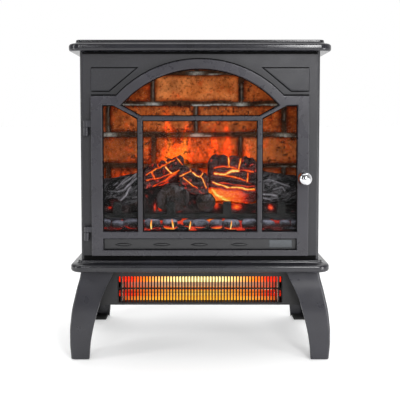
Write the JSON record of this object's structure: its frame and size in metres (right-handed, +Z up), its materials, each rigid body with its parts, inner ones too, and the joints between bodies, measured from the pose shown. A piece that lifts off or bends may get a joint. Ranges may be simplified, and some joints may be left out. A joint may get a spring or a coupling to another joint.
{
  "type": "electric fireplace",
  "caption": "Freestanding electric fireplace stove with an arched glazed door, lit log bed and a quartz heater grille between curved legs.",
  "frame": {"origin": "on the floor, under the middle of the stove's bounding box", "axes": "+Z up, the door faces -Y, +X to the right seen from the front"},
  "size_m": [0.518, 0.306, 0.634],
  "materials": {
    "charcoal_paint": "satin powder coat, fine grain",
    "chrome": "polished",
    "glass": "clear tempered sheet",
    "brick_relief": "moulded and printed brick relief, flame light playing on it",
    "dark_log": "moulded bark with ashy streaks",
    "glowing_log": "moulded charcoal, cracks lit from inside",
    "ember_bed": "moulded coals, lit from below",
    "grate_black": "matt black",
    "firebox_black": "matt black",
    "zinc_sheet": "galvanised",
    "polished_sheet": "bright rolled sheet",
    "quartz": "clear fused quartz, lit",
    "ceramic": "unglazed steatite",
    "black_plastic": "moulded",
    "grey_plastic": "fine textured",
    "display": "blank display lens",
    "circuit_board": "solder mask",
    "rubber": "moulded"
  },
  "bodies": {
    "cabinet": {"top_slab": "charcoal_paint", "base_plate": "charcoal_paint", "leg_front_left": "charcoal_paint", "leg_front_right": "charcoal_paint", "leg_rear_left": "charcoal_paint", "leg_rear_right": "charcoal_paint", "front_panel": "charcoal_paint", "side_panel_left": "charcoal_paint", "side_panel_right": "charcoal_paint", "back_cover": "charcoal_paint", "heater_housing": "charcoal_paint", "hinge_knuckle_upper": "charcoal_paint", "hinge_knuckle_lower": "charcoal_paint", "brick_screen": "brick_relief", "log_left": "dark_log", "log_end_left": "dark_log", "log_end_right": "dark_log", "log_right": "dark_log", "log_charred_left": "glowing_log", "log_leaning": "glowing_log", "log_glowing_right": "glowing_log", "ember_bed": "ember_bed", "fire_grate": "grate_black", "heater_grille": "grate_black", "firebox_liner": "firebox_black", "flame_mask": "firebox_black", "spindle_motor": "zinc_sheet", "blower_housing": "zinc_sheet", "blower_motor": "zinc_sheet", "heater_reflector": "polished_sheet", "quartz_tube_upper": "quartz", "quartz_tube_lower": "quartz", "tube_holder_left": "ceramic", "tube_holder_right": "ceramic", "thermal_cutout": "ceramic", "spindle_bearing": "black_plastic", "tip_over_switch": "black_plastic", "door_magnet": "black_plastic", "control_fascia": "grey_plastic", "display_window": "display", "led_board": "circuit_board", "control_board": "circuit_board", "power_board": "circuit_board", "foot_pad_front_left": "rubber", "foot_pad_front_right": "rubber", "foot_pad_rear_left": "rubber", "foot_pad_rear_right": "rubber", "cord_gland": "rubber"},
    "door": {"door_frame": "charcoal_paint", "door_glass": "glass", "door_knob": "chrome", "hinge_pin_upper": "charcoal_paint", "hinge_pin_lower": "charcoal_paint"},
    "flame_spindle": {"flame_spindle": "polished_sheet"},
    "blower_rotor": {"blower_rotor": "black_plastic"},
    "button_power": {"button_power": "grey_plastic"},
    "button_flame": {"button_flame": "grey_plastic"},
    "button_heat": {"button_heat": "grey_plastic"},
    "button_timer": {"button_timer": "grey_plastic"}
  },
  "joints": [
    {"name": "door_hinge", "type": "hinge", "parent": "cabinet", "child": "door", "pos_m": [-0.2255, -0.117, 0.4], "axis": [0, 0, -1], "range_deg": [0, 130]},
    {"name": "spindle_spin", "type": "hinge", "parent": "cabinet", "child": "flame_spindle", "pos_m": [0, 0.0405, 0.285], "axis": [1, 0, 0], "continuous": true},
    {"name": "blower_spin", "type": "hinge", "parent": "cabinet", "child": "blower_rotor", "pos_m": [0, 0.0205, 0.137], "axis": [1, 0, 0], "continuous": true},
    {"name": "power_press", "type": "slide", "parent": "cabinet", "child": "button_power", "axis": [0, 1, 0], "range_m": [0, 0.001], "stiffness_N_per_m": 250},
    {"name": "flame_press", "type": "slide", "parent": "cabinet", "child": "button_flame", "axis": [0, 1, 0], "range_m": [0, 0.001], "stiffness_N_per_m": 250},
    {"name": "heat_press", "type": "slide", "parent": "cabinet", "child": "button_heat", "axis": [0, 1, 0], "range_m": [0, 0.001], "stiffness_N_per_m": 250},
    {"name": "timer_press", "type": "slide", "parent": "cabinet", "child": "button_timer", "axis": [0, 1, 0], "range_m": [0, 0.001], "stiffness_N_per_m": 250}
  ]
}
